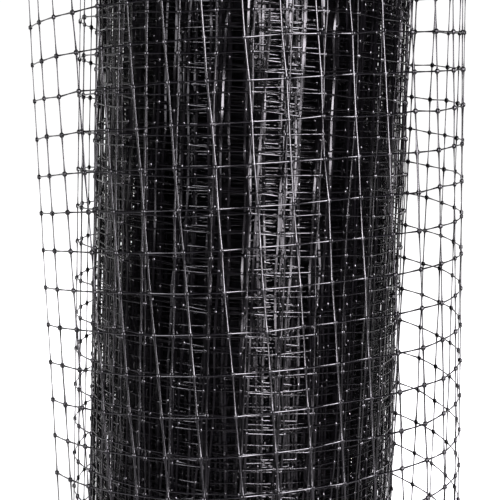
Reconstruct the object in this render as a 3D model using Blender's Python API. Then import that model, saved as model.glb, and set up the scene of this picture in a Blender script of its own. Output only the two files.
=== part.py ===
"""A roll of extruded mole netting that stands on its end, with its outer turn sprung loose.

Units are metres and +Z is up. The origin is on the floor, on the axis of the wound roll.
Plan angles are in degrees from the front (-Y), and grow towards the right (+X) and round the back.
"""

import bisect
import math

import bmesh
import bpy

# The netting, as it is made: one piece, wound up from its inner end.
NET_WIDTH = 0.406  # from one long edge to the other, which is the length of the roll
MESH_UP = NET_WIDTH / 26  # from row to row, along the roll
MESH_ROUND = 0.01417  # from strand to strand, round the roll

# The solid netting is cut at twice the mesh of the real one, with bars that are wider to match.
GAP_UP = 2 * MESH_UP
GAP_ROUND = 2 * MESH_ROUND
GAP_ROWS = 13
BAR_WIDTH = 0.0022
NET_THICK = 0.0015
STEPS_A_GAP = 2  # flat pieces that a bar between two strands is bent from
LAST_STRIP = 0.010  # the least length of the uncut strip that lies on the wound roll
STRIP_PIECES = 2

# The loose turn is modelled as panels side by side, each nearly flat, because it bends all the way round the roll.
# They meet in the middle of a strand, and their bars there are halves.
PANEL_GAPS = 2  # gaps from side to side of a panel
PANEL_PARTING = 0.0003

# The wound roll: its outline in plan, from where the loose turn leaves it once round to the same place.
LEAVES_AT = -12.0
ROLL_OUTLINE = (  # plan angle, radius
    (-12, 0.0755),
    (40, 0.0746),
    (90, 0.0729),
    (140, 0.0712),
    (190, 0.0694),
    (240, 0.0679),
    (270, 0.0677),
    (300, 0.0693),
    (325, 0.0719),
    (348, 0.0735),
)
POCKET_DEPTH = 0.0018  # the gaps of its outermost turn are let into its side, down to the turn beneath

# The spiral that the wound turns make on the upper end, drawn with a few turns for the many.
SPIRAL_TURNS = 5.4
SPIRAL_STEPS = 44  # sides to a turn
SPIRAL_PITCH = 0.0116
SPIRAL_FROM_RIM = 0.0045
GROOVE_WIDTH = 0.0024
GROOVE_DEPTH = 0.0030

# The loose turn, from its cut end at the left, round the front, right and back, to the roll.
LOOSE_CENTRE = 0.0101  # how far its centre lies to the right of the roll's axis
LOOSE_PATH = (  # angle about that centre, radius at half height
    (-88, 0.1030),
    (-72, 0.0996),
    (-40, 0.0923),
    (0, 0.0850),
    (40, 0.0852),
    (80, 0.0867),
    (110, 0.0834),
    (145, 0.0788),
    (180, 0.0787),
    (215, 0.0796),
    (240, 0.0805),
    (262, 0.0818),
    (275, 0.0827),
    (288, 0.0852),
    (303, 0.0848),
    (325, 0.0806),
    (345, 0.0767),
)
CUT_END_AT = -72.0
RUNS_IN_AT = 340.3

# The loose turn is askew: it climbs from its cut end, and its top leans to the left and back.
CLIMB = 0.0838  # rise for each metre along the net, up to where it levels out
CLIMB_ENDS = (0.290, 0.540)  # from here the rise eases off, and here it has ended
SLIP = 0.0596  # how far a strand leans back along the turn for each metre up
LEAN_RIGHT = 0.0472  # how far the turn moves to the right for each metre down
LEAN_FRONT = 0.0558  # and to the front
TAPER = 0.0206  # and how much its radius shrinks
LEAN_REACH = 0.300  # the lean levels off about this far above and below half height
LEAN_FADES = (110.0, 200.0)  # angles between which it dies out towards the back


def smooth(share):
    """0 below 0, 1 above 1, and an even curve between them."""
    share = min(max(share, 0.0), 1.0)
    return share * share * (3 - 2 * share)


def through(table, at):
    """The value of a smooth curve through the rows of a two-column table."""
    keys = [row[0] for row in table]
    low = min(max(bisect.bisect_right(keys, at) - 1, 0), len(table) - 2)
    (x0, y0), (x1, y1) = table[low], table[low + 1]
    before = table[max(low - 1, 0)]
    after = table[min(low + 2, len(table) - 1)]
    width = x1 - x0
    slope0 = (y1 - before[1]) / (x1 - before[0]) * width
    slope1 = (after[1] - y0) / (after[0] - x0) * width
    t = (at - x0) / width
    return (
        y0 * (1 + 2 * t) * (1 - t) ** 2
        + slope0 * t * (1 - t) ** 2
        + y1 * t * t * (3 - 2 * t)
        + slope1 * t * t * (t - 1)
    )


class Path:
    """A line in plan, from a table of angles and radii about a centre, measured along its length."""

    STEP = 0.5

    def __init__(self, table, centre, start_angle):
        self.table, self.centre = table, centre
        first, last = table[0][0], table[-1][0]
        count = int((last - first) / self.STEP)
        self.angles = [first + i * self.STEP for i in range(count + 1)]
        spots = [self.spot(angle) for angle in self.angles]
        self.lengths = [0.0]
        for a, b in zip(spots, spots[1:]):
            self.lengths.append(self.lengths[-1] + math.dist(a, b))
        start = self.length_at(start_angle)
        self.lengths = [length - start for length in self.lengths]

    def spot(self, angle, outwards=0.0):
        turn = math.radians(angle)
        radius = through(self.table, angle) + outwards
        return (self.centre + radius * math.sin(turn), -radius * math.cos(turn))

    def length_at(self, angle):
        share = (angle - self.angles[0]) / self.STEP
        i = min(int(share), len(self.angles) - 2)
        return self.lengths[i] + (share - i) * (self.lengths[i + 1] - self.lengths[i])

    def angle_at(self, length):
        i = min(max(bisect.bisect_right(self.lengths, length) - 1, 0), len(self.lengths) - 2)
        share = (length - self.lengths[i]) / (self.lengths[i + 1] - self.lengths[i])
        return self.angles[i] + share * self.STEP


def rise(along):
    """How far the net's lower edge is above the floor, along the net from its cut end."""
    start, end = CLIMB_ENDS
    if along <= start:
        return CLIMB * along
    eased = min(along, end) - start
    return CLIMB * (start + eased - eased * eased / (2 * (end - start)))


def net_point(path, along, up, outwards):
    """A point of the loose turn, from its place on the flat net."""
    start, end = CLIMB_ENDS
    slip = SLIP * (1 - smooth((along - start) / (end - start)))
    height = rise(along) + up
    angle = path.angle_at(along - slip * (up - NET_WIDTH / 2))
    first, last = LEAN_FADES
    below = LEAN_REACH * math.tanh((NET_WIDTH / 2 - height) / LEAN_REACH)
    below *= 1 - smooth((angle - first) / (last - first))
    radius = through(LOOSE_PATH, angle) - TAPER * below + outwards
    turn = math.radians(angle)
    return (
        LOOSE_CENTRE + radius * math.sin(turn) + LEAN_RIGHT * below,
        -radius * math.cos(turn) - LEAN_FRONT * below,
        height,
    )


def bar_edges(pitch, count):
    """The two edges of each of count bars, pitch apart, the first of which begins at the net's edge."""
    edges = [0.0, BAR_WIDTH]
    for i in range(1, count):
        edges += [i * pitch - BAR_WIDTH / 2, i * pitch + BAR_WIDTH / 2]
    return edges


def net_rows():
    """The lines along the net, and for each strip between two of them, whether it is solid."""
    lines = bar_edges(GAP_UP, GAP_ROWS) + [NET_WIDTH - BAR_WIDTH, NET_WIDTH]
    return lines, [i % 2 == 0 for i in range(len(lines) - 1)]


class Strips:
    """Lines across the net, and for each strip between two of them, whether it is solid."""

    def __init__(self, start):
        self.lines, self.solid = [start], []

    def add(self, edge, is_solid, pieces=1):
        """A strip from the last line to the edge, in equal pieces."""
        start = self.lines[-1]
        for k in range(1, pieces + 1):
            self.lines.append(start + (edge - start) * k / pieces)
            self.solid.append(is_solid)


def panel_bars(length):
    """The first and last bar of each panel, by number from the cut end."""
    bars = int((length - LAST_STRIP) / GAP_ROUND)
    return [(first, min(first + PANEL_GAPS, bars)) for first in range(0, bars, PANEL_GAPS)], bars


def panel_columns(first, last, end):
    """The strips of a panel. With an end, it runs on from its last bar to there uncut."""
    strips = Strips(first * GAP_ROUND + PANEL_PARTING / 2 if first else 0.0)
    strips.add(first * GAP_ROUND + BAR_WIDTH / 2 if first else BAR_WIDTH, True)
    for bar in range(first + 1, last):
        strips.add(bar * GAP_ROUND - BAR_WIDTH / 2, False, STEPS_A_GAP)
        strips.add(bar * GAP_ROUND + BAR_WIDTH / 2, True)
    if end is None:
        strips.add(last * GAP_ROUND - BAR_WIDTH / 2, False, STEPS_A_GAP)
        strips.add(last * GAP_ROUND - PANEL_PARTING / 2, True)
    else:
        strips.add(last * GAP_ROUND, False, STEPS_A_GAP)
        strips.add(end, True, STRIP_PIECES)
    return strips


def roll_columns(length):
    """The strips of the wound roll's outermost turn."""
    strips = Strips(0.0)
    strips.add(BAR_WIDTH, True)
    for bar in range(1, int(length / GAP_ROUND) + 1):
        strips.add(bar * GAP_ROUND - BAR_WIDTH / 2, False, STEPS_A_GAP)
        strips.add(bar * GAP_ROUND + BAR_WIDTH / 2, True)
    strips.add(length - BAR_WIDTH, False, STEPS_A_GAP)
    strips.add(length, True)
    return strips


def add_faces(build, rings):
    """Faces from the vertices round each."""
    for ring in rings:
        build.faces.new(ring)


def panel_mesh(name, path, columns):
    levels, row_solid = net_rows()
    build = bmesh.new()
    corners = {}

    def corner(i, j, side):
        if (i, j, side) not in corners:
            spot = net_point(path, columns.lines[i], levels[j], side * NET_THICK / 2)
            corners[i, j, side] = build.verts.new(spot)
        return corners[i, j, side]

    def filled(i, j):
        inside = 0 <= i < len(columns.solid) and 0 <= j < len(row_solid)
        return inside and (columns.solid[i] or row_solid[j])

    for i in range(len(columns.solid)):
        for j in range(len(row_solid)):
            if not filled(i, j):
                continue
            around = [(i, j), (i + 1, j), (i + 1, j + 1), (i, j + 1)]
            outer = [corner(a, b, 1) for a, b in around]
            inner = [corner(a, b, -1) for a, b in around]
            faces = [outer, inner[::-1]]
            neighbours = [(i, j - 1), (i + 1, j), (i, j + 1), (i - 1, j)]
            for k, beside in enumerate(neighbours):
                if not filled(*beside):
                    n = (k + 1) % 4
                    faces.append([outer[n], outer[k], inner[k], inner[n]])
            add_faces(build, faces)
    bmesh.ops.recalc_face_normals(build, faces=build.faces)
    mesh = bpy.data.meshes.new(name)
    build.to_mesh(mesh)
    build.free()
    return mesh


def wound_roll_mesh():
    path = Path(ROLL_OUTLINE, 0.0, LEAVES_AT)
    columns = roll_columns(path.length_at(ROLL_OUTLINE[-1][0]))
    levels, row_solid = net_rows()
    seam, top = len(columns.solid), len(row_solid)
    build = bmesh.new()
    corners = {}

    def corner(i, j, outwards=0.0):
        if (i, j, outwards) not in corners:
            x, y = path.spot(path.angle_at(columns.lines[i]), outwards)
            corners[i, j, outwards] = build.verts.new((x, y, levels[j]))
        return corners[i, j, outwards]

    def filled(i, j):
        return columns.solid[i] or row_solid[j]

    for i in range(seam):
        for j in range(top):
            around = [(i, j), (i + 1, j), (i + 1, j + 1), (i, j + 1)]
            if filled(i, j):
                add_faces(build, [[corner(a, b) for a, b in around]])
                continue
            floor = [corner(a, b, -POCKET_DEPTH) for a, b in around]
            faces = [floor]
            neighbours = [(i, j - 1), (i + 1, j), (i, j + 1), (i - 1, j)]
            for k, beside in enumerate(neighbours):
                if filled(*beside):
                    n = (k + 1) % 4
                    faces.append([corner(*around[k]), corner(*around[n]), floor[n], floor[k]])
            add_faces(build, faces)
    # The small step where the loose turn runs in, then the two ends
    add_faces(build, [[corner(seam, j), corner(0, j), corner(0, j + 1), corner(seam, j + 1)] for j in range(top)])
    add_faces(build, [[corner(i, j) for i in range(seam + 1)] for j in (0, top)])
    bmesh.ops.recalc_face_normals(build, faces=build.faces)
    mesh = bpy.data.meshes.new("wound_roll")
    build.to_mesh(mesh)
    build.free()
    return mesh


def spiral_cutter_mesh():
    """A rectangular bar that winds inwards, deep enough to leave a groove in the roll's upper end."""
    build = bmesh.new()
    bottom, top = NET_WIDTH - GROOVE_DEPTH, NET_WIDTH + GROOVE_DEPTH
    rings = []
    for i in range(int(SPIRAL_TURNS * SPIRAL_STEPS) + 1):
        round_once = i % SPIRAL_STEPS / SPIRAL_STEPS
        turn = math.radians(LEAVES_AT + 360 * round_once)
        inset = SPIRAL_FROM_RIM + SPIRAL_PITCH * i / SPIRAL_STEPS
        mean = (ROLL_OUTLINE[0][1] + ROLL_OUTLINE[-1][1]) / 2
        uneven = through(ROLL_OUTLINE, LEAVES_AT + 360 * round_once) / mean
        eased = 1 + (uneven - 1) * max(0.0, math.sin(math.pi * round_once))
        outer = (mean - inset) * eased
        inner = outer - GROOVE_WIDTH
        ring = [(outer, bottom), (outer, top), (inner, top), (inner, bottom)]
        rings.append([build.verts.new((r * math.sin(turn), -r * math.cos(turn), z)) for r, z in ring])
    for a, b in zip(rings, rings[1:]):
        add_faces(build, [[a[k], a[(k + 1) % 4], b[(k + 1) % 4], b[k]] for k in range(4)])
    add_faces(build, [rings[0], rings[-1][::-1]])
    bmesh.ops.recalc_face_normals(build, faces=build.faces)
    mesh = bpy.data.meshes.new("spiral_cutter")
    build.to_mesh(mesh)
    build.free()
    return mesh


def netting_material(name, colour, roughness):
    material = bpy.data.materials.new(name)
    material.use_nodes = True
    shader = material.node_tree.nodes["Principled BSDF"]
    shader.inputs["Base Color"].default_value = (*colour, 1)
    shader.inputs["Roughness"].default_value = roughness
    shader.inputs["Metallic"].default_value = 0
    return material


def add_object(name, mesh, material=None):
    thing = bpy.data.objects.new(name, mesh)
    if material:
        mesh.materials.append(material)
    bpy.context.scene.collection.objects.link(thing)
    return thing


def add_wound_roll(material):
    roll = add_object("wound_roll", wound_roll_mesh(), material)
    cutter = add_object("spiral_cutter", spiral_cutter_mesh())
    cutter.hide_render = True
    cutter.display_type = "WIRE"
    cut = roll.modifiers.new("spiral", "BOOLEAN")
    cut.operation = "DIFFERENCE"
    cut.solver = "EXACT"
    cut.object = cutter
    roll.data.shade_smooth()
    roll.data.set_sharp_from_angle(angle=math.radians(30))
    return roll


def add_loose_turn(material):
    path = Path(LOOSE_PATH, LOOSE_CENTRE, CUT_END_AT)
    length = path.length_at(RUNS_IN_AT)
    panels, bars = panel_bars(length)
    turn = bpy.data.objects.new("loose_turn", None)
    bpy.context.scene.collection.objects.link(turn)
    for number, (first, last) in enumerate(panels, 1):
        name = f"loose_turn_{number:02d}"
        columns = panel_columns(first, last, length if last == bars else None)
        panel = add_object(name, panel_mesh(name, path, columns), material)
        panel.parent = turn
        panel.data.shade_smooth()
        panel.data.set_sharp_from_angle(angle=math.radians(30))
    return turn


def main():
    for thing in list(bpy.data.objects):
        bpy.data.objects.remove(thing)
    wound = netting_material("wound_netting", (0.020, 0.019, 0.022), 0.50)
    loose = netting_material("loose_netting", (0.028, 0.026, 0.030), 0.42)
    add_wound_roll(wound)
    add_loose_turn(loose)


main()
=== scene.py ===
"""The looks of a roll of black extruded mole netting that stands on its end, its outer turn sprung loose.

Units are metres and +Z is up. The origin is on the floor, on the axis of the wound roll.
Plan angles are in degrees from the front (-Y), and grow towards the right (+X) and round the back.
The whole netting is one table of nodes, the crossings of its strands and rows, from the cut end of the
loose turn to the eye of the roll. Each piece of netting is made from a part of that table, and one dark
form in the middle stands for the height of the innermost turns.
"""

import math

import bpy
import numpy as np
from mathutils import Matrix, Vector


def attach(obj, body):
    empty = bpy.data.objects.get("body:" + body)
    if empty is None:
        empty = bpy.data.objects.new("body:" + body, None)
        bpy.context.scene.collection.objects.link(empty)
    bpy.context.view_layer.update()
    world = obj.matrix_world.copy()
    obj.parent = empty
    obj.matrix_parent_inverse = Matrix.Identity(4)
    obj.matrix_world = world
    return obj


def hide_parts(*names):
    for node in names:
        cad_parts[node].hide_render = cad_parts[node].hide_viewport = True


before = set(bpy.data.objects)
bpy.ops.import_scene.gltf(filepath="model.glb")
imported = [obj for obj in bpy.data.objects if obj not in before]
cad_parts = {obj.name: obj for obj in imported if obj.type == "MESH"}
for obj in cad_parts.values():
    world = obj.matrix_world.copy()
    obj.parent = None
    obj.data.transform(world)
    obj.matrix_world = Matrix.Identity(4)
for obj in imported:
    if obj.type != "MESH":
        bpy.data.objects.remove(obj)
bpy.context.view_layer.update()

# The netting
NET_WIDTH = 0.406  # from one long edge to the other, which is the length of the roll
MESH_ROWS = 26
MESH_UP = NET_WIDTH / MESH_ROWS
MESH_ROUND = 0.01417
EDGE_ROW_INSET = 0.0010  # the rows along the two edges lie this far inside them
NUDGE = 0.0005  # the step that directions on the netting are measured over
LAST_MARGIN = 0.002  # the netting ends at least this far before the end of the path it is wound on

# The loose turn: the path, climb and lean of its solid, and the bends that the solid leaves out
LOOSE_CENTRE = 0.0101  # x, with y at 0
LOOSE_PATH = np.array((  # angle about that centre, radius at half height
    (-88, 0.1030),
    (-72, 0.0996),
    (-40, 0.0923),
    (0, 0.0850),
    (40, 0.0852),
    (80, 0.0867),
    (110, 0.0834),
    (145, 0.0788),
    (180, 0.0787),
    (215, 0.0796),
    (240, 0.0805),
    (262, 0.0818),
    (275, 0.0827),
    (288, 0.0852),
    (303, 0.0848),
    (325, 0.0806),
    (345, 0.0767),
))
LOOSE_BENDS = np.array((  # angle about that centre, how far the netting bulges there beyond its solid
    (-64, 0.0),
    (-50, 0.0006),
    (-36, 0.0020),
    (-26, 0.0029),
    (-20, 0.0031),
    (-14, 0.0024),
    (-9, 0.0010),
    (-3, -0.0007),
    (3, -0.0019),
    (9, -0.0030),
    (15, -0.0040),
    (24, -0.0043),
    (38, -0.0026),
    (52, -0.0008),
    (64, 0.0),
))
CUT_END_AT = -72.0
RUNS_IN_AT = 340.3
CLIMB = 0.0838  # how far it rises for each metre along it
CLIMB_ENDS = (0.290, 0.540)  # from the first of these lengths to the second the climb dies out
SLIP = 0.0596  # how far its strands lean towards the cut end for each metre up, until the climb dies out
LEAN_RIGHT = 0.0472  # how far it lies to the right for each metre below half height
LEAN_FRONT = 0.0558  # and towards the front
TAPER = 0.0206  # and further in
LEAN_REACH = 0.300  # the lean eases off towards this distance from half height
LEAN_FADES = (110.0, 200.0)  # from the first of these angles to the second the lean dies out
LOOSE_STEP = 0.5  # degrees between the places that the loose turn's length is measured at
STUB = 0.0021  # how far the cut ends of the rows stand beyond the first strand
STUB_RANGE = (0.5, 1.3)  # the shares of that which the shortest and the longest have
STUB_STATIONS = (0.0, 0.55, 1.0)  # shares of its length, with the widths there
STUB_WIDTHS = (0.0014, 0.0007, 0.0006)
STUB_FLATNESS = 0.7  # its thickness to its width

# The wound turns: the outermost lies within 3 mm of the solid's outline, the others tighter inside it
WOUND_FROM = -12.0
WOUND_STEP = 2.0  # degrees between the places that its length is measured at
ROLL_OUTLINE = np.array((  # plan angle, radius
    (-12, 0.0755),
    (40, 0.0744),
    (90, 0.0707),
    (140, 0.0712),
    (190, 0.0694),
    (240, 0.0679),
    (270, 0.0677),
    (300, 0.0693),
    (325, 0.0719),
    (348, 0.0735),
))
OUTER_INSET = 0.00075  # the middle of the outermost strands lies this far inside that outline
TIGHT_OUTLINE = np.array((  # plan angle, radius of the second wound turn
    (-12, 0.0732),
    (40, 0.0718),
    (90, 0.0698),
    (140, 0.0688),
    (190, 0.0672),
    (240, 0.0662),
    (270, 0.0665),
    (300, 0.0680),
    (325, 0.0703),
    (348, 0.0720),
))
TURN_PITCH = 0.00086
SNUG = np.array((  # plan angle, how much nearer to the outside the turns come there
    (-12, 0.0),
    (40, 0.0),
    (90, 0.0010),
    (140, 0.0004),
    (190, 0.0),
    (240, 0.0002),
    (270, 0.0008),
    (300, 0.0002),
    (348, 0.0),
))
SNUG_TURNS = 5.0  # about the number of turns over which that comes in
TIGHT_TURNS = 22  # netted over their whole height, because light comes through to them
NEAR_TURNS = 3  # of those, made more finely
DEEP_GROUP = 7  # of the rest, turns to a piece
INNER_TURNS = 26  # only their edges show, on the two ends of the roll
EDGE_MESHES = 2  # how many meshes of the netting are made there
WOUND_RISES = np.array((  # turns wound in, how far the netting's lower edge is above the floor
    (0.0, 0.0348),
    (0.04, 0.0361),
    (0.10, 0.0361),
    (0.30, 0.0330),
    (0.60, 0.0235),
    (1.06, 0.0156),
    (2.0, 0.0075),
    (3.0, 0.0030),
    (4.5, 0.0),
))
ROW_SHIFT = 0.0070  # the turns aren't level with each other: they rise by up to twice this and sink again
SHIFT_EACH_TURN = 0.382  # such waves to a turn

# The innermost turns, as one ribbed form
RIBS = 180
RIB_DEPTH = 0.0009
CORE_INSET_TURNS = TIGHT_TURNS + 0.6
CORE_NARROW_AT = 270.0  # plan angle
CORE_UNEVEN = 0.004  # its radius is nowhere more than this beyond the one there
CORE_LEVELS = np.array((0.0015, 0.10, 0.20, 0.30, NET_WIDTH - 0.012))
CORE_END_SHARES = (0.02, 0.5)  # of its radius, for the rings that close its ends

# Irregularity
LOOSE_JITTER = 0.00022  # of the places of the crossings, along and up
WOUND_JITTER = 0.00035
WOUND_WAVE = 0.0011  # slow sideways waves of the wound strands
WOUND_RIPPLE = 0.00045  # and in and out
WOUND_LEAN = 0.035  # about the most that a wound strand leans along the netting, for each metre up
ROW_WANDER = 0.0030  # the wound rows wander up by twice this and back
WAVE_SPREAD = (0.4, 1.4)  # the shares of the usual number of waves that a wave's sines have
WAVE_PEAK = 1.4  # what the sum of the sines mostly stays below, over the root of their number
STRAND_TWIST = 0.20  # radians, from crossing to crossing
WOUND_SETTLES = 0.10  # the wound netting's waves set in over this length of it
STRAND_WAIST = 0.16  # how much thinner a strand is half way between crossings

# Camera, fitted to the crossings in the photograph
CAMERA_AT = (0.00281, -0.49665, 0.2553)
CAMERA_DOWN = 0.1056  # radians
CAMERA_ROLL = 0.0296  # radians
FOCAL_PIXELS = 1106.5
PICTURE_PIXELS = 500
SENSOR = 36.0  # millimetres, as is the lens
LENS = SENSOR * FOCAL_PIXELS / PICTURE_PIXELS

# Plastic
LOOSE_BLACK = (0.0011, 0.0010, 0.0013)
WOUND_BLACK = (0.0009, 0.0008, 0.0010)
DEPTH_BLACK = (0.003, 0.003, 0.004)
GRAIN = 420  # scale of the noise in its colour, gloss and skin
GRAIN_STRETCH = (1, 1, 0.3)  # which draws it out up the roll
DARK_STREAK = (0.3, 0.6)  # where on the noise, and the share of the plastic's own colour
LIGHT_STREAK = (0.7, 1.5)
GLOSS_VARIES = 0.05
SKIN_DEPTH = 0.0001

# Studio
BACKDROP_AT = 208.5  # plan angle of its middle
BACKDROP_EDGE = (0.60, 0.72)  # cosines of the angles from its middle where it starts and is full
BACKDROP_LEVELS = (0.04, 1.06)
BOX_SPREAD = 60.0  # degrees, the cone that the grids of the soft boxes let through
FLOOR_HALF = 4.0  # half the length of its side
FLOOR_DROP = 0.0002  # it lies this far below the part
GLOW_EDGE = (0.08, 0.24)  # how far behind the roll's axis the floor starts to glow, and is white


def smooth(share):
    """Eases from 0 to 1 as the share goes from 0 to 1, and stays there on either side."""
    share = np.clip(share, 0.0, 1.0)
    return share * share * (3 - 2 * share)


def through(table, at):
    """The values of a smooth curve through the rows of a two-column table."""
    keys, values = table[:, 0], table[:, 1]
    last = len(keys) - 1
    low = np.clip(np.searchsorted(keys, at, side="right") - 1, 0, last - 1)
    before, after = np.maximum(low - 1, 0), np.minimum(low + 2, last)
    x0, x1, y0, y1 = keys[low], keys[low + 1], values[low], values[low + 1]
    slope0 = (y1 - values[before]) / (x1 - keys[before]) * (x1 - x0)
    slope1 = (values[after] - y0) / (keys[after] - x0) * (x1 - x0)
    t = (at - x0) / (x1 - x0)
    rising = t * t * (3 - 2 * t)
    return y0 * (1 - rising) + y1 * rising + slope0 * t * (1 - t) ** 2 + slope1 * t * t * (t - 1)


def in_plan(angle, radius):
    """The x and y of a place at a plan angle and a radius."""
    turn = np.radians(angle)
    return radius * np.sin(turn), -radius * np.cos(turn)


def measured(angles, x, y, start):
    """Lengths along a line in plan, from the given starting angle."""
    steps = np.hypot(np.diff(x), np.diff(y))
    lengths = np.concatenate([[0.0], np.cumsum(steps)])
    return lengths - np.interp(start, angles, lengths)


def rise(along):
    """How far the loose turn's lower edge is above the floor."""
    start, end = CLIMB_ENDS
    eased = np.clip(along, start, end) - start
    return CLIMB * (np.minimum(along, start) + eased - eased**2 / (2 * (end - start)))


def loose_spots(along, up):
    """Points of the loose turn, from their places on the flat net."""
    start, end = CLIMB_ENDS
    slip = SLIP * (1 - smooth((along - start) / (end - start)))
    height = rise(along) + up
    angle = np.interp(along - slip * (up - NET_WIDTH / 2), LOOSE_LENGTHS, LOOSE_ANGLES)
    first, last = LEAN_FADES
    below = LEAN_REACH * np.tanh((NET_WIDTH / 2 - height) / LEAN_REACH)
    below = below * (1 - smooth((angle - first) / (last - first)))
    bends = through(LOOSE_BENDS, np.clip(angle, LOOSE_BENDS[0, 0], LOOSE_BENDS[-1, 0]))
    x, y = in_plan(angle, through(LOOSE_PATH, angle) + bends - TAPER * below)
    return np.stack([LOOSE_CENTRE + x + LEAN_RIGHT * below, y - LEAN_FRONT * below, height], -1)


def wound_radius(angle):
    """The radius of the wound netting at a plan angle that counts on from turn to turn."""
    turn = np.floor((angle - WOUND_FROM) / 360)
    once_round = angle - 360 * turn
    outer = through(ROLL_OUTLINE, once_round) - OUTER_INSET
    deeper = np.maximum(turn - 1, 0)
    snug = through(SNUG, once_round) * (1 - np.exp(-deeper / SNUG_TURNS))
    tight = through(TIGHT_OUTLINE, once_round) + snug - TURN_PITCH * deeper
    return np.where(turn < 1, outer, tight)


class Waves:
    """Even, seeded noise over a plane: a few sine waves of about the given lengths, mostly from -1 to 1."""

    def __init__(self, seed, length_a, length_b, count=7):
        random = np.random.default_rng(seed)
        self.a = 2 * math.pi / length_a * random.uniform(*WAVE_SPREAD, count)
        self.b = 2 * math.pi / length_b * random.uniform(*WAVE_SPREAD, count)
        self.b = self.b * random.choice([-1, 1], count)
        self.phase = random.uniform(0, 2 * math.pi, count)

    def at(self, a, b):
        total = sum(np.sin(ka * a + kb * b + phase) for ka, kb, phase in zip(self.a, self.b, self.phase))
        return total / math.sqrt(len(self.phase)) / WAVE_PEAK


def wound_spots(along, up):
    """Points of the wound turns. Along counts from the cut end, as it does on the loose turn."""
    base = np.interp(along, WOUND_LENGTHS, WOUND_ANGLES)
    settled = smooth((along - LOOSE_LENGTH) / WOUND_SETTLES)
    lean = WOUND_LEAN * LEAN_WAVES.at(along, 0 * along)
    sideways = WOUND_WAVE * SIDE_WAVES.at(up, along) + lean * (up - NET_WIDTH / 2)
    angle = np.interp(along + settled * sideways, WOUND_LENGTHS, WOUND_ANGLES)
    turns_in = (base - WOUND_FROM) / 360
    height = up + through(WOUND_RISES, np.minimum(turns_in, WOUND_RISES[-1, 0]))
    wander = ROW_WANDER * (1 + np.clip(ROW_WAVES.at(along, 0 * along), -1, 1))
    shift = ROW_SHIFT * (1 - np.cos(2 * np.pi * SHIFT_EACH_TURN * turns_in))
    height = height + settled * wander * np.minimum(turns_in, 1) + shift
    radius = wound_radius(angle) + settled * WOUND_RIPPLE * RADIAL_WAVES.at(up, along)
    x, y = in_plan(angle, radius)
    return np.stack([x, y, height], -1)


LOOSE_ANGLES = np.arange(LOOSE_PATH[0, 0], LOOSE_PATH[-1, 0] + LOOSE_STEP / 2, LOOSE_STEP)
LOOSE_X, LOOSE_Y = in_plan(LOOSE_ANGLES, through(LOOSE_PATH, LOOSE_ANGLES))
LOOSE_LENGTHS = measured(LOOSE_ANGLES, LOOSE_X, LOOSE_Y, CUT_END_AT)
LOOSE_LENGTH = float(np.interp(RUNS_IN_AT, LOOSE_ANGLES, LOOSE_LENGTHS))

ALL_TURNS = 1 + TIGHT_TURNS + INNER_TURNS
WOUND_ANGLES = np.arange(WOUND_FROM, WOUND_FROM + 360 * ALL_TURNS, WOUND_STEP)
WOUND_X, WOUND_Y = in_plan(WOUND_ANGLES, wound_radius(WOUND_ANGLES))
WOUND_LENGTHS = LOOSE_LENGTH + measured(WOUND_ANGLES, WOUND_X, WOUND_Y, WOUND_FROM)

SIDE_WAVES = Waves(3, 0.120, 0.070)
LEAN_WAVES = Waves(5, 0.160, 1.0)
ROW_WAVES = Waves(8, 0.350, 1.0)
RADIAL_WAVES = Waves(13, 0.090, 0.045)


class Nodes:
    """The crossings of the net: place[column, row], the directions along, up and outwards there, and the
    directions of the strand's width and thickness, which twist a little from crossing to crossing."""

    def __init__(self):
        random = np.random.default_rng(21)
        columns = int((WOUND_LENGTHS[-1] - LAST_MARGIN) / MESH_ROUND) + 1
        self.loose_columns = int(LOOSE_LENGTH / MESH_ROUND) + 1
        along, up = np.meshgrid(
            np.arange(columns) * MESH_ROUND,
            np.clip(np.arange(MESH_ROWS + 1) * MESH_UP, EDGE_ROW_INSET, NET_WIDTH - EDGE_ROW_INSET),
            indexing="ij",
        )
        is_loose = np.arange(columns)[:, None] < self.loose_columns
        jitter = np.where(is_loose, LOOSE_JITTER, WOUND_JITTER)
        along = along + jitter * random.normal(size=along.shape)
        up = up + jitter * random.normal(size=up.shape) * (np.arange(MESH_ROWS + 1) % MESH_ROWS != 0)
        self.place = self.spots(along, up)
        ahead = self.spots(along + NUDGE, up) - self.place
        above = self.spots(along, up + NUDGE) - self.place
        self.ahead = ahead / np.linalg.norm(ahead, axis=-1, keepdims=True)
        self.above = above / np.linalg.norm(above, axis=-1, keepdims=True)
        self.out = np.cross(self.ahead, self.above)
        twist = STRAND_TWIST * random.normal(size=along.shape)[..., None]
        self.wide = np.cos(twist) * self.ahead + np.sin(twist) * self.out
        self.thin = np.cos(twist) * self.out - np.sin(twist) * self.ahead

    def spots(self, along, up):
        loose = loose_spots(along[: self.loose_columns], up[: self.loose_columns])
        wound = wound_spots(along[self.loose_columns :], up[self.loose_columns :])
        return np.concatenate([loose, wound])


def even_section(sides):
    """A round section of so many sides, with one corner outwards."""
    turn = 2 * np.pi * np.arange(sides) / sides
    return np.stack([np.cos(turn), np.sin(turn)], -1)


# Sections: the points of each are (outwards, sideways) shares of half its thickness and half its width
RIBBON = np.array(((1.0, 0.48), (0.1, 1.0), (-1.0, 0.5), (-1.0, -0.5), (0.1, -1.0), (1.0, -0.48)))
BAR = np.array(((1.0, 0.82), (-1.0, 0.86), (-1.0, -0.86), (1.0, -0.82)))
LOBE = np.array(((1.0, 0.45), (0.0, 1.0), (-1.0, 0.0), (0.0, -1.0), (1.0, -0.45)))
KNOT_TIPS = 1.02  # a swelling's outline ends at the root of this, just beyond its last rings


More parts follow.
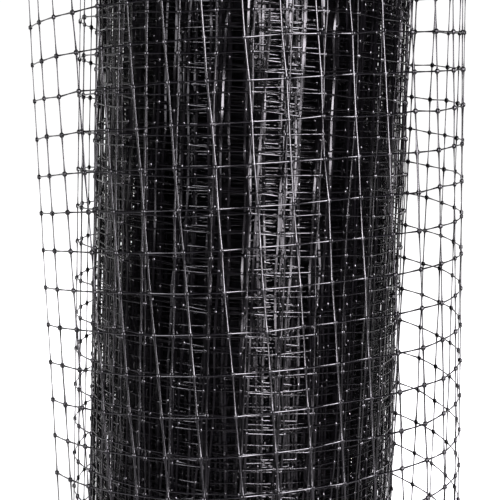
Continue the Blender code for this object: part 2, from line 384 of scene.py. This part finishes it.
class Strand:
    """A run of plastic between two crossings: its section, the shares of its length where it has a ring of
    points, its width in the middle and at a crossing, how far the width there reaches, and its
    thickness in the middle and at a crossing."""

    def __init__(self, section, stations, middle, joint, flare, thick, joint_thick):
        self.section, self.stations = section, np.array(stations)
        self.middle, self.joint, self.flare = middle, joint, flare
        self.thick, self.joint_thick = thick, joint_thick

    def sizes(self, spacing):
        """(width, thickness) at the stations, for crossings that far apart."""
        reach = np.minimum(self.stations, 1 - self.stations) * spacing
        near = np.exp(-((reach / self.flare) ** 2))
        waist = 1 - STRAND_WAIST * np.sin(np.pi * self.stations)
        width = self.middle * waist + (self.joint - self.middle) * near
        thick = self.thick * waist + (self.joint_thick - self.thick) * near
        return width, thick


class Knot:
    """The swellings where a strand and a row cross: their sizes, the levels of their rings from -1 to 1,
    and how far each lies to one side of the crossing. Their outline is round, up to two open tips."""

    def __init__(self, section, levels, wide, tall, thick, sideways=(0.0,)):
        self.section, self.levels = section, levels
        self.wide, self.tall, self.thick = wide, tall, thick
        self.sideways = sideways


def ring_spots(centre, out, side, thick, width, section):
    """Rings of points round centre[..., 3]: a section, that thick outwards and that wide sideways."""
    outwards = (thick / 2)[..., None, None] * section[:, :1] * out[..., None, :]
    sideways = (width / 2)[..., None, None] * section[:, 1:] * side[..., None, :]
    return centre[..., None, :] + outwards + sideways


def upright_rings(nodes, columns, rows, strand):
    """Rings of the strands that run up the roll, shaped (strand, station, side, 3)."""
    share = strand.stations[:-1, None]
    width, thick = strand.sizes(MESH_UP)

    def blend(table):
        table = table[columns, rows]
        between = table[:, :-1, None] * (1 - share) + table[:, 1:, None] * share
        return np.concatenate([between.reshape(len(table), -1, 3), table[:, -1:]], axis=1)

    centre = blend(nodes.place)
    spans = (centre.shape[1] - 1) // len(share)

    def repeat(sizes):
        return np.broadcast_to(np.append(np.tile(sizes[:-1], spans), sizes[-1]), centre.shape[:2])

    thick, width = repeat(thick), repeat(width)
    return ring_spots(centre, blend(nodes.thin), blend(nodes.wide), thick, width, strand.section)


def knot_rings(nodes, columns, rows, knot):
    """Rings of the swellings at the crossings, shaped (swelling, level, side, 3)."""
    levels = np.array(knot.levels)

    def each(table):
        return table[columns, rows].reshape(-1, 1, 3)

    out, side = each(nodes.thin), each(nodes.wide)
    swellings = []
    for sideways in knot.sideways:
        centre = each(nodes.place) + sideways * side
        centre = centre + (knot.tall / 2 * levels)[:, None] * each(nodes.above)
        share = np.broadcast_to(np.sqrt(KNOT_TIPS - levels**2), centre.shape[:2])
        swellings.append(ring_spots(centre, out, side, knot.thick * share, knot.wide * share, knot.section))
    return np.concatenate(swellings)


def level_rings(nodes, columns, rows, strand):
    """Rings of the rows' short runs from strand to strand, shaped (run, station, side, 3)."""
    start, end = nodes.place[columns, rows][:-1], nodes.place[columns, rows][1:]
    above = nodes.above[columns, rows]
    out = nodes.out[columns, rows]
    above, out = above[:-1] + above[1:], out[:-1] + out[1:]
    above = above / np.linalg.norm(above, axis=-1, keepdims=True)
    out = out / np.linalg.norm(out, axis=-1, keepdims=True)
    share = strand.stations[:, None]
    ahead = nodes.ahead[columns, rows] * MESH_ROUND
    leaving, arriving = share * (1 - share) ** 2, share * share * (share - 1)
    centre = start[..., None, :] * (1 - smooth(share)) + end[..., None, :] * smooth(share)
    centre = centre + ahead[:-1][..., None, :] * leaving + ahead[1:][..., None, :] * arriving
    width, thick = strand.sizes(MESH_ROUND)
    shape = centre.shape[:-1]
    width, thick = np.broadcast_to(width, shape), np.broadcast_to(thick, shape)
    rings = ring_spots(centre, out[..., None, :], -above[..., None, :], thick, width, strand.section)
    return rings.reshape(-1, *rings.shape[2:])


def tubes_mesh(name, *groups):
    """One mesh of open tubes, from groups of rings shaped (tube, station, side, 3)."""
    spots, quads, start = [], [], 0
    for rings in groups:
        tubes, stations, sides = rings.shape[:3]
        number = start + np.arange(tubes * stations * sides).reshape(tubes, stations, sides)
        beside = np.roll(number, -1, axis=2)
        corners = [number[:, :-1], beside[:, :-1], beside[:, 1:], number[:, 1:]]
        quads.append(np.stack(corners, -1).reshape(-1, 4))
        spots.append(rings.reshape(-1, 3))
        start += tubes * stations * sides
    return quad_mesh(name, np.concatenate(spots), np.concatenate(quads))


def quad_mesh(name, spots, quads):
    """A smooth-shaded mesh of four-sided faces, from points and the numbers of each face's corners."""
    mesh = bpy.data.meshes.new(name)
    mesh.vertices.add(len(spots))
    mesh.vertices.foreach_set("co", spots.astype(np.float32).ravel())
    mesh.loops.add(4 * len(quads))
    mesh.loops.foreach_set("vertex_index", quads.astype(np.int32).ravel())
    mesh.polygons.add(len(quads))
    mesh.polygons.foreach_set("loop_start", np.arange(0, 4 * len(quads), 4, dtype=np.int32))
    mesh.update(calc_edges=True)
    mesh.shade_smooth()
    return mesh


def add_piece(name, mesh, *materials):
    """An object on the part's only body, with its materials in the order that the mesh numbers them."""
    piece = bpy.data.objects.new(name, mesh)
    for material in materials:
        mesh.materials.append(material)
    bpy.context.scene.collection.objects.link(piece)
    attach(piece, "root")
    return piece


class Make:
    """How finely a piece of net is made: its strands, its rows, the swellings where they cross, and
    whether the strands' flat sides meet at sharp edges."""

    def __init__(self, upright, level, knot, edged):
        self.upright, self.level, self.knot, self.edged = upright, level, knot, edged


FINE = Make(
    upright=Strand(
        RIBBON,
        stations=(0, 0.08, 0.30, 0.70, 0.92, 1),
        middle=0.00098,
        joint=0.0018,
        flare=0.0011,
        thick=0.00038,
        joint_thick=0.00090,
    ),
    level=Strand(
        even_section(6),
        stations=(0, 0.09, 0.5, 0.91, 1),
        middle=0.00066,
        joint=0.0016,
        flare=0.0011,
        thick=0.00046,
        joint_thick=0.00090,
    ),
    knot=Knot(
        LOBE,
        levels=(-0.98, -0.6, 0.6, 0.98),
        wide=0.00125,
        tall=0.0021,
        thick=0.00165,
        sideways=(-0.00050, 0.00050),
    ),
    edged=False,
)
OUTER = Make(
    upright=Strand(
        RIBBON,
        stations=(0, 0.09, 0.5, 0.91, 1),
        middle=0.00096,
        joint=0.0017,
        flare=0.0010,
        thick=0.00036,
        joint_thick=0.00085,
    ),
    level=Strand(
        even_section(5),
        stations=(0, 0.09, 0.5, 0.91, 1),
        middle=0.00064,
        joint=0.0015,
        flare=0.0010,
        thick=0.00044,
        joint_thick=0.00085,
    ),
    knot=Knot(
        LOBE,
        levels=(-0.98, -0.6, 0.6, 0.98),
        wide=0.00120,
        tall=0.0020,
        thick=0.00150,
        sideways=(-0.00050, 0.00050),
    ),
    edged=False,
)
NEAR = Make(
    upright=Strand(
        BAR,
        stations=(0, 0.5, 1),
        middle=0.00100,
        joint=0.0012,
        flare=0.0009,
        thick=0.00034,
        joint_thick=0.00060,
    ),
    level=Strand(
        even_section(4),
        stations=(0, 0.5, 1),
        middle=0.00064,
        joint=0.0009,
        flare=0.0009,
        thick=0.00042,
        joint_thick=0.00060,
    ),
    knot=Knot(even_section(6), levels=(-0.98, -0.55, 0.55, 0.98), wide=0.0017, tall=0.0019, thick=0.00120),
    edged=True,
)
DEEP = Make(
    upright=Strand(
        BAR,
        stations=(0, 1),
        middle=0.00100,
        joint=0.0010,
        flare=0.0010,
        thick=0.00036,
        joint_thick=0.00036,
    ),
    level=Strand(
        even_section(3),
        stations=(0, 1),
        middle=0.00074,
        joint=0.0008,
        flare=0.0010,
        thick=0.00055,
        joint_thick=0.00055,
    ),
    knot=Knot(even_section(3), levels=(-0.98, 0, 0.98), wide=0.0020, tall=0.0022, thick=0.00130),
    edged=True,
)


def net_mesh(name, nodes, first, last, make, rows=slice(None), *more):
    """A mesh of the net from one column to another, with the last column's strand left to the next piece,
    and of any more groups of rings. Its strands have the first of its three materials, its rows the
    second, and the rest the third."""
    own = slice(first, last)
    with_next = slice(first, last + 1)
    strands = upright_rings(nodes, own, rows, make.upright)
    levels = level_rings(nodes, with_next, rows, make.level)
    mesh = tubes_mesh(name, strands, levels, knot_rings(nodes, own, rows, make.knot), *more)
    faces = [tubes * (stations - 1) * sides for tubes, stations, sides, _ in (strands.shape, levels.shape)]
    material = np.searchsorted(np.cumsum(faces), np.arange(len(mesh.polygons)), "right")
    mesh.polygons.foreach_set("material_index", material.astype(np.int32))
    if make.edged:
        tubes, stations, sides = strands.shape[:3]
        edge_ends = np.empty(2 * len(mesh.edges), np.int32)
        mesh.edges.foreach_get("vertices", edge_ends)
        start, end = np.sort(edge_ends.reshape(-1, 2), axis=1).T
        mesh.edges.foreach_set("use_edge_sharp", (end - start == sides) & (end < tubes * stations * sides))
    return mesh


def stub_rings(nodes):
    """The rows' cut ends, which stand a little beyond the first strand."""
    random = np.random.default_rng(34)
    tables = (nodes.place, nodes.ahead, nodes.above, nodes.out)
    place, ahead, above, out = (table[0] for table in tables)
    length = STUB * random.uniform(*STUB_RANGE, len(place))
    centre = place[:, None] - (length[:, None] * np.array(STUB_STATIONS))[..., None] * ahead[:, None]
    width = np.broadcast_to(np.array(STUB_WIDTHS), centre.shape[:2])
    return ring_spots(centre, out[:, None], above[:, None], STUB_FLATNESS * width, width, even_section(6))


def plastic(name, colour, roughness, bump, shine):
    """Extruded black plastic: slightly streaked colour and gloss, and a fine uneven skin."""
    material = bpy.data.materials.new(name)
    material.use_nodes = True
    nodes, links = material.node_tree.nodes, material.node_tree.links
    shader = nodes["Principled BSDF"]
    shader.inputs["Specular IOR Level"].default_value = shine
    place = nodes.new("ShaderNodeTexCoord")
    stretch = nodes.new("ShaderNodeMapping")
    stretch.inputs["Scale"].default_value = GRAIN_STRETCH
    links.new(place.outputs["Object"], stretch.inputs["Vector"])
    noise = nodes.new("ShaderNodeTexNoise")
    noise.inputs["Scale"].default_value = GRAIN
    noise.inputs["Detail"].default_value = 3
    links.new(stretch.outputs["Vector"], noise.inputs["Vector"])
    tint = nodes.new("ShaderNodeValToRGB")
    for element, (place_on_noise, share) in zip(tint.color_ramp.elements, (DARK_STREAK, LIGHT_STREAK)):
        element.position = place_on_noise
        element.color = (*(share * c for c in colour), 1)
    links.new(noise.outputs["Fac"], tint.inputs["Fac"])
    links.new(tint.outputs["Color"], shader.inputs["Base Color"])
    gloss = nodes.new("ShaderNodeMapRange")
    gloss.inputs["To Min"].default_value = roughness - GLOSS_VARIES
    gloss.inputs["To Max"].default_value = roughness + GLOSS_VARIES
    links.new(noise.outputs["Fac"], gloss.inputs["Value"])
    links.new(gloss.outputs["Result"], shader.inputs["Roughness"])
    skin = nodes.new("ShaderNodeBump")
    skin.inputs["Strength"].default_value = bump
    skin.inputs["Distance"].default_value = SKIN_DEPTH
    links.new(noise.outputs["Fac"], skin.inputs["Height"])
    links.new(skin.outputs["Normal"], shader.inputs["Normal"])
    return material


def inner_mass_mesh():
    """The innermost turns as one dark ribbed form, which only shows as depth between the strands."""
    inset = TURN_PITCH * CORE_INSET_TURNS
    angle = np.arange(RIBS) * 360 / RIBS + WOUND_FROM
    radius = through(TIGHT_OUTLINE, angle) - inset
    radius = np.minimum(radius, through(TIGHT_OUTLINE, np.array(CORE_NARROW_AT)) - inset + CORE_UNEVEN)
    radius = radius - RIB_DEPTH * (np.arange(RIBS) % 2)
    x, y = in_plan(angle, radius)
    rings = [np.stack([x, y, np.full(RIBS, z)], -1) for z in CORE_LEVELS]
    low = [rings[0] * (share, share, 1) for share in CORE_END_SHARES]
    high = [rings[-1] * (share, share, 1) for share in reversed(CORE_END_SHARES)]
    spots = np.stack(low + rings + high)
    number = np.arange(spots.shape[0] * RIBS).reshape(-1, RIBS)
    beside = np.roll(number, -1, axis=1)
    corners = [number[:-1], beside[:-1], beside[1:], number[1:]]
    return quad_mesh("inner_turns", spots.reshape(-1, 3), np.stack(corners, -1).reshape(-1, 4))


def add_net(nodes):
    """The pieces of the netting, each made from its own columns of the table, from the cut end inwards."""
    loose_plastics = (
        plastic("loose_strands", LOOSE_BLACK, roughness=0.22, bump=0.18, shine=0.26),
        plastic("loose_rows", LOOSE_BLACK, roughness=0.11, bump=0.15, shine=0.28),
        plastic("loose_crossings", LOOSE_BLACK, roughness=0.13, bump=0.15, shine=0.26),
    )
    wound_plastics = (
        plastic("wound_strands", WOUND_BLACK, roughness=0.24, bump=0.20, shine=0.14),
        plastic("wound_rows", WOUND_BLACK, roughness=0.15, bump=0.15, shine=0.34),
        plastic("wound_crossings", WOUND_BLACK, roughness=0.15, bump=0.15, shine=0.42),
    )
    depth_plastic = plastic("depth_netting", DEPTH_BLACK, roughness=0.75, bump=0.6, shine=0.1)
    seam = nodes.loose_columns
    loose = add_piece(
        "loose_turn_net",
        net_mesh("loose_turn_net", nodes, 0, seam, FINE, slice(None), stub_rings(nodes)),
        *loose_plastics,
    )
    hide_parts(*[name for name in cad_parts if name.startswith("loose_turn")])

    ends = [seam]
    for turn in range(1, 1 + TIGHT_TURNS + 1):
        ends.append(int(np.interp(WOUND_FROM + 360 * turn, WOUND_ANGLES, WOUND_LENGTHS) / MESH_ROUND))
    outer_mesh = net_mesh("outer_wound_turn", nodes, ends[0], ends[1], OUTER)
    outer = add_piece("outer_wound_turn", outer_mesh, *wound_plastics)
    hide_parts("wound_roll")

    pieces = [("near_turns", 1, 1 + NEAR_TURNS, NEAR)]
    for number, start in enumerate(range(1 + NEAR_TURNS, 1 + TIGHT_TURNS, DEEP_GROUP), 1):
        last = min(start + DEEP_GROUP, 1 + TIGHT_TURNS)
        pieces.append((f"deep_turns_{number}", start, last, DEEP))
    for name, start, last, make in pieces:
        piece = add_piece(name, net_mesh(name, nodes, ends[start], ends[last], make), *wound_plastics)

    last_column = nodes.place.shape[0] - 1
    top, foot = slice(MESH_ROWS - EDGE_MESHES, None), slice(0, EDGE_MESHES + 1)
    for name, rows in (("inner_edges_top", top), ("inner_edges_foot", foot)):
        mesh = net_mesh(name, nodes, ends[-1], last_column, DEEP, rows)
        piece = add_piece(name, mesh, *wound_plastics)
    mass = add_piece("inner_turns", inner_mass_mesh(), depth_plastic)


def area_light(name, azimuth, distance, height, width, tall, power, colour):
    """A soft box with a grid in front of it, at a plan angle round the roll and turned towards it."""
    data = bpy.data.lights.new(name, "AREA")
    data.shape = "RECTANGLE"
    data.size, data.size_y = width, tall
    data.energy = power
    data.color = colour
    light = bpy.data.objects.new(name, data)
    data.spread = math.radians(BOX_SPREAD)
    light.location = (*in_plan(azimuth, distance), height)
    away = light.location - Vector((0, 0, NET_WIDTH / 2))
    light.rotation_euler = away.to_track_quat("Z", "Y").to_euler()
    bpy.context.scene.collection.objects.link(light)


def add_lights():
    """The key box lights the bright band down the front, and the strip the fainter one at its left."""
    area_light(
        "key_box",
        azimuth=28.5,
        distance=1.30,
        height=0.45,
        width=0.53,
        tall=1.5,
        power=27,
        colour=(0.97, 0.92, 1.0),
    )
    area_light(
        "left_strip",
        azimuth=-39,
        distance=1.20,
        height=0.40,
        width=0.20,
        tall=1.2,
        power=2.4,
        colour=(0.95, 0.92, 1.0),
    )


def set_range(node, span, levels):
    """Lets a map range node turn a span of values into levels, each given as (lowest, highest)."""
    node.inputs["From Min"].default_value, node.inputs["From Max"].default_value = span
    node.inputs["To Min"].default_value, node.inputs["To Max"].default_value = levels


def add_world():
    """White behind the roll and round to its left, and dark elsewhere, as in a studio."""
    world = bpy.data.worlds.new("studio")
    world.use_nodes = True
    bpy.context.scene.world = world
    nodes, links = world.node_tree.nodes, world.node_tree.links
    place = nodes.new("ShaderNodeTexCoord")
    towards = nodes.new("ShaderNodeVectorMath")
    towards.operation = "DOT_PRODUCT"
    links.new(place.outputs["Generated"], towards.inputs[0])
    towards.inputs[1].default_value = (*in_plan(BACKDROP_AT, 1.0), 0)
    level = nodes.new("ShaderNodeMapRange")
    set_range(level, BACKDROP_EDGE, BACKDROP_LEVELS)
    links.new(towards.outputs["Value"], level.inputs["Value"])
    links.new(level.outputs["Result"], nodes["Background"].inputs["Strength"])
    nodes["Background"].inputs["Color"].default_value = (1.0, 0.995, 1.0, 1)


def add_floor():
    """A pale floor: plain, and bright enough away from the roll to run into the background."""
    corners = ((-1, -1), (1, -1), (1, 1), (-1, 1))
    spots = np.array([(x * FLOOR_HALF, y * FLOOR_HALF, -FLOOR_DROP) for x, y in corners])
    floor = bpy.data.objects.new("floor", quad_mesh("floor", spots, np.array([[0, 1, 2, 3]])))
    bpy.context.scene.collection.objects.link(floor)
    material = bpy.data.materials.new("pale_floor")
    material.use_nodes = True
    nodes, links = material.node_tree.nodes, material.node_tree.links
    shader = nodes["Principled BSDF"]
    shader.inputs["Base Color"].default_value = (0.85, 0.85, 0.86, 1)
    shader.inputs["Roughness"].default_value = 0.8
    place = nodes.new("ShaderNodeTexCoord")
    split = nodes.new("ShaderNodeSeparateXYZ")
    links.new(place.outputs["Object"], split.inputs["Vector"])
    glow = nodes.new("ShaderNodeMapRange")
    set_range(glow, GLOW_EDGE, (0.0, 1.0))
    links.new(split.outputs["Y"], glow.inputs["Value"])
    shader.inputs["Emission Color"].default_value = (1, 1, 1, 1)
    links.new(glow.outputs["Result"], shader.inputs["Emission Strength"])
    floor.data.materials.append(material)


def add_camera():
    """A camera that looks towards +Y and down, and is rolled a little."""
    data = bpy.data.cameras.new("camera")
    data.sensor_width = SENSOR
    data.lens = LENS
    data.clip_start = 0.01
    camera = bpy.data.objects.new("camera", data)
    down_s, down_c = math.sin(CAMERA_DOWN), math.cos(CAMERA_DOWN)
    roll_s, roll_c = math.sin(CAMERA_ROLL), math.cos(CAMERA_ROLL)
    level_up = (0.0, down_s, down_c)
    right = [roll_c * a + roll_s * b for a, b in zip((1, 0, 0), level_up)]
    up = [-roll_s * a + roll_c * b for a, b in zip((1, 0, 0), level_up)]
    back = (0.0, -down_c, down_s)
    rows = [[right[i], up[i], back[i], CAMERA_AT[i]] for i in range(3)]
    camera.matrix_world = Matrix(rows + [[0, 0, 0, 1]])
    bpy.context.scene.collection.objects.link(camera)
    bpy.context.scene.camera = camera


def main():
    add_camera()
    add_net(Nodes())
    add_floor()
    add_world()
    add_lights()
    bpy.context.scene.view_settings.view_transform = "Standard"


main()
